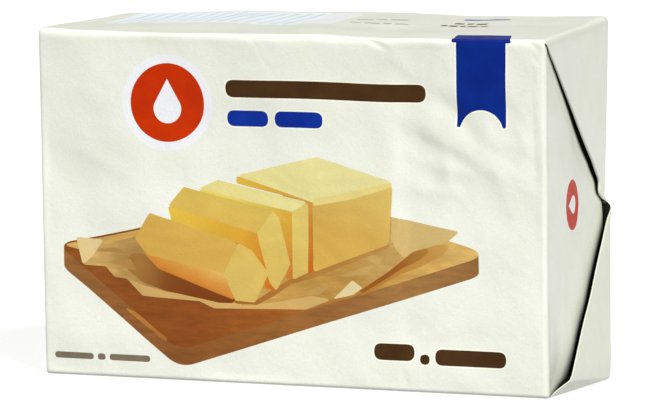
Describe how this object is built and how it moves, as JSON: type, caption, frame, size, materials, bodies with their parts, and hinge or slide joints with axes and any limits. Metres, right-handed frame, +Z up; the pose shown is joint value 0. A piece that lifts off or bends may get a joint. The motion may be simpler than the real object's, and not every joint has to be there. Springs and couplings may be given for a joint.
{
  "type": "wrapped butter block",
  "caption": "Small block of butter shut in folded printed paper, standing on a long narrow side, with pointed fold-over ends and a seam and tails on the rear.",
  "frame": {"origin": "under the middle of the block, on the face that it rests on", "axes": "+X along the block, from its left end to its right end seen from the front; +Y from the printed front panel to the rear panel; +Z up"},
  "size_m": [0.0762, 0.0336, 0.051],
  "materials": {
    "wrapper_paper": "satin coated paper, lightly wrinkled, with a simple colour print"
  },
  "bodies": {
    "root": {"wrapped_block": "wrapper_paper"}
  },
  "joints": []
}
